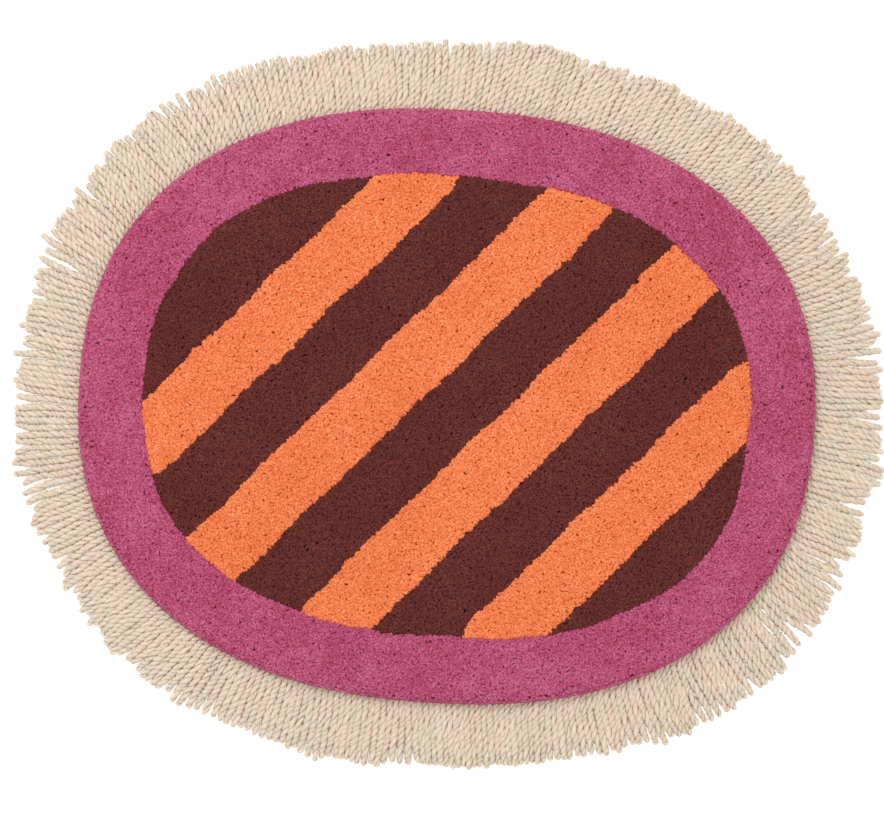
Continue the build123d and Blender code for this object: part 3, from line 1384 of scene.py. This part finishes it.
def flat_layer(name: str, oval: Oval, layers: Sequence[Layer], stations: int) -> bpy.types.Object:
    """Makes a closed flat sheet whose outline follows the oval.

    Args:
        name: The piece's name.
        oval: The pile's outline.
        layers: Rings from the middle of the top, over the edge, to the middle of the underside.
        stations: Vertices in each ring.

    Returns:
        The mesh object.
    """
    rings = []
    for layer in layers:
        place = oval.stations(stations, -layer.inset)[0] * layer.scale
        rings.append(np.column_stack([place, np.full(stations, layer.height)]))
    middles = np.array([[0, 0, layers[0].height], [0, 0, layers[-1].height]])
    points = np.concatenate([*rings, middles])
    here, last = np.arange(stations), (len(layers) - 1) * stations
    beside = (here + 1) % stations
    top = np.stack([np.full(stations, len(points) - 2), here, beside], axis=1)
    sole = np.stack([np.full(stations, len(points) - 1), last + beside, last + here], axis=1)
    walls = grid_faces(len(layers), stations, False)[:, ::-1]
    return mesh_from(name, points, [walls, np.concatenate([top, sole])])


@dataclass
class Underside:
    """Everything under the pile: ground cloth, latex coat, header tape and its stitches."""

    plan: Plan
    stations: int = 360
    cloth_inset: float = 0.3 * MM
    cloth_fold: float = 0.25 * MM
    hem_width: float = 16.0 * MM
    tape_width: float = 12.5 * MM
    tape_stations: int = 720
    tape_ribs: int = 10
    rib_height: float = 0.09 * MM
    latex_gap: float = 0.3 * MM
    latex_lip: float = 0.4 * MM
    latex_rings: int = 90
    stitch_inset: float = 5.0 * MM
    stitch_count: int = 240
    stitch_length: float = 4.2 * MM
    stitch_dip: float = 0.5 * MM
    stitch_steps: int = 9
    stitch_sides: int = 6

    def cloth(self, material: bpy.types.Material) -> bpy.types.Object:
        """Makes the ground cloth with its hem turned under.

        Args:
            material: The cloth's material.

        Returns:
            The piece.
        """
        low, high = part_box("tufting_cloth")
        hem_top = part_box("latex_backing")[1].z
        edge, hem, fold = self.cloth_inset, self.hem_width, self.cloth_fold
        inward = (0.15, 0.4, 0.65, 0.85, 1.0)
        rings = [Layer(hem, s, high.z) for s in inward]
        rings += [Layer(edge + fold, 1.0, high.z), Layer(edge, 1.0, high.z - fold)]
        rings += [Layer(edge, 1.0, low.z + fold), Layer(edge + fold, 1.0, low.z)]
        rings += [Layer(hem - fold, 1.0, low.z), Layer(hem, 1.0, low.z + fold)]
        rings += [Layer(hem, s, hem_top) for s in inward[::-1]]
        piece = flat_layer("ground_cloth", self.plan.pile, rings, self.stations)
        return dress(piece, Slot.CLOTH, material, "tufting_cloth")

    def latex(self, material: bpy.types.Material) -> bpy.types.Object:
        """Makes the latex coat, thinner where it laps onto the hem.

        Args:
            material: The latex's material.

        Returns:
            The piece.
        """
        low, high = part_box("latex_backing")
        lap_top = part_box("tufting_cloth")[0].z
        inner, outer, lip = self.hem_width + self.latex_gap, self.tape_width + self.latex_gap, self.latex_lip
        rings = [Layer(inner, s, high.z - 0.03 * MM) for s in (0.2, 0.6, 1.0)]
        rings += [Layer(inner, 1.0, lap_top), Layer(outer + lip, 1.0, lap_top - 0.02 * MM)]
        rings += [Layer(outer, 1.0, lap_top - lip), Layer(outer, 1.0, low.z + lip)]
        rings += [Layer(outer + lip, s, low.z) for s in (1.0, *np.linspace(0.99, 0.02, self.latex_rings))]
        piece = flat_layer("latex_coat", self.plan.pile, rings, self.stations)
        return dress(piece, Slot.LATEX, material, "latex_backing")

    def tape(self, material: bpy.types.Material) -> bpy.types.Object:
        """Makes the header tape, with its woven ribs.

        Args:
            material: The tape's material.

        Returns:
            The piece.
        """
        low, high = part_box("header_tape")
        across = np.linspace(0, 1, 4 * self.tape_ribs + 1)
        rib = self.rib_height * (1 - np.cos(FULL_TURN * self.tape_ribs * across))
        section = [(self.tape_width * a, low.z + r) for a, r in zip(across, rib)]
        section += [(self.tape_width * a, high.z) for a in (1.0, 0.66, 0.33, 0.0)]
        rings = []
        for inset, height in section:
            place = self.plan.pile.stations(self.tape_stations, -inset)[0]
            rings.append(np.column_stack([place, np.full(self.tape_stations, height)]))
        faces = grid_faces(len(rings), self.tape_stations, True)
        piece = mesh_from("fringe_header", np.concatenate(rings), [faces])
        return dress(piece, Slot.TAPE, material, "header_tape")

    def stitches(self, material: bpy.types.Material) -> bpy.types.Object:
        """Makes the row of stitches, each one dipping into the tape at both ends.

        Args:
            material: The thread's material.

        Returns:
            The piece.
        """
        low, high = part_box("header_stitching")
        count, steps, sides = self.stitch_count, self.stitch_steps, self.stitch_sides
        place, out = self.plan.pile.stations(count, -self.stitch_inset)
        way = np.column_stack([-out[:, 1], out[:, 0], np.zeros(count)])
        u = np.linspace(-1, 1, steps)
        line = way[:, None] * (u[:, None] * self.stitch_length / 2)
        line[..., :2] += place[:, None]
        line[..., 2] += (low.z + high.z) / 2 + self.stitch_dip * np.abs(u) ** 6
        first, second = tube_frames(line, np.broadcast_to(np.array([0, 0, 1.0]), line.shape), False)
        angle = corner_angles(sides)
        shape = np.cos(angle)[:, None] * first[:, :, None] + np.sin(angle)[:, None] * second[:, :, None]
        points = line[:, :, None] + (high.z - low.z) / 2 * shape
        piece = mesh_from("header_stitches", points.reshape(-1, 3), rod_faces(count, steps, sides))
        set_values(
            piece,
            shade=np.full(count * steps * sides, 0.4),
            along=np.tile(np.repeat(u * self.stitch_length, sides), count),
            around=np.tile(angle, count * steps),
            inner=np.zeros(count * steps * sides),
        )
        return dress(piece, Slot.THREAD, material, "header_stitching")


# ---------------------------------------------------------------- studio


@dataclass(frozen=True)
class Lamp:
    """One soft square lamp that shines at the mat's middle: its place, its side and its power."""

    name: str
    place: tuple[float, float, float]
    size: float
    power: float

    def build(self) -> None:
        """Hangs the lamp."""
        lamp = bpy.data.lights.new(self.name, "AREA")
        lamp.size, lamp.energy = self.size, self.power
        holder = bpy.data.objects.new(self.name, lamp)
        bpy.context.scene.collection.objects.link(holder)
        holder.location = self.place
        holder.rotation_euler = (-holder.location).to_track_quat("-Z", "Y").to_euler()


@dataclass
class Studio:
    """Pale floor, soft light and the overhead camera."""

    view_width: float = 614.4 * MM
    distance: float = 2.4
    turn: float = math.radians(3.7)
    aim: tuple[float, float] = (-3.3 * MM, -7.4 * MM)
    focus_height: float = 10 * MM
    sensor: float = 36.0
    floor_size: float = 6.0
    floor_cells: int = 8
    floor_gap: float = 0.05 * MM
    floor_glow: float = 0.42
    sky_colour: Colour = (1.0, 0.985, 0.97)
    sky_strength: float = 0.85
    lamps: tuple[Lamp, ...] = (
        Lamp("key", (-1.0, 1.3, 2.0), 1.4, 27.4),
        Lamp("fill", (1.6, -0.9, 1.9), 1.8, 7.6),
    )

    def floor(self) -> None:
        """Makes the floor, which isn't part of the object."""
        cells = self.floor_cells
        line = np.linspace(-self.floor_size / 2, self.floor_size / 2, cells + 1)
        x, y = np.meshgrid(line, line, indexing="ij")
        points = np.stack([x, y, np.full_like(x, -self.floor_gap)], axis=-1).reshape(-1, 3)
        i, j = np.meshgrid(np.arange(cells), np.arange(cells), indexing="ij")
        corner = (i * (cells + 1) + j).reshape(-1, 1)
        faces = np.concatenate([corner, corner + cells + 1, corner + cells + 2, corner + 1], axis=1)
        floor = mesh_from("floor", points, [faces])
        p = Painter("pale_floor")
        colour = p.mix(p.noise(0.4), (0.93, 0.925, 0.92), (0.95, 0.945, 0.94))
        floor.data.materials.append(p.finish(colour, None, 0.0, 0.9, 0.0))
        p.shader.inputs["Emission Color"].default_value = (1.0, 1.0, 1.0, 1.0)
        p.shader.inputs["Emission Strength"].default_value = self.floor_glow

    def light(self) -> None:
        """Makes an even sky, a large soft lamp from the upper left and a weaker one from the right."""
        world = bpy.data.worlds.new("soft_room")
        bpy.context.scene.world = world
        world.use_nodes = True
        sky = world.node_tree.nodes["Background"]
        sky.inputs["Color"].default_value = (*self.sky_colour, 1.0)
        sky.inputs["Strength"].default_value = self.sky_strength
        for lamp in self.lamps:
            lamp.build()

    def camera(self) -> None:
        """Makes the camera straight overhead, rolled so that the mat lies slightly askew."""
        lens = bpy.data.cameras.new("overhead")
        lens.sensor_width = self.sensor
        lens.lens = self.sensor * self.distance / self.view_width
        holder = bpy.data.objects.new("overhead", lens)
        bpy.context.scene.collection.objects.link(holder)
        x, y = turned(np.array([self.aim]), self.turn)[0]
        holder.location = (x, y, self.distance + self.focus_height)
        holder.rotation_euler = (0.0, 0.0, self.turn)
        bpy.context.scene.camera = holder

    def build(self) -> None:
        """Makes the whole studio."""
        self.floor()
        self.light()
        self.camera()
        bpy.context.scene.view_settings.view_transform = "Standard"


# ---------------------------------------------------------------- assembly


def stripe_names() -> tuple[str, ...]:
    """Names the stripe nodes in order from the upper left corner, colours in turn.

    Returns:
        The names.
    """
    count = sum("_stripe_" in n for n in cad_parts)
    return tuple(f"{('maroon', 'orange')[k % 2]}_stripe_{k // 2 + 1}" for k in range(count))


def main() -> None:
    """Builds every sub-assembly in order and reports its pieces."""
    logging.basicConfig(level=logging.INFO, format="%(name)s %(message)s")
    Studio().build()
    plan = Plan(Stripes(stripe_names()))
    cord = CREAM_CORD.material()
    underside = Underside(plan)
    cloth = underside.cloth(TUFTING_CANVAS.material())
    underside.latex(LATEX_COAT.material())
    tape = underside.tape(HEADER_WEAVE.material())
    stitches = underside.stitches(COTTON_THREAD.material())
    finishes = {"magenta": MAGENTA_PILE.material(), "orange": ORANGE_PILE.material()}
    finishes["maroon"] = MAROON_PILE.material()
    piles = Pile(plan).build(finishes)
    cords = Fringe(plan, tuple(sorted(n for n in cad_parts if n.startswith("fringe_")))).build(cord)
    binding = EdgeBinding(plan).build(BINDING_YARN.material())
    hem = underside.hem_width
    plan.pile.area(hem)


if __name__ == "__main__":
    main()
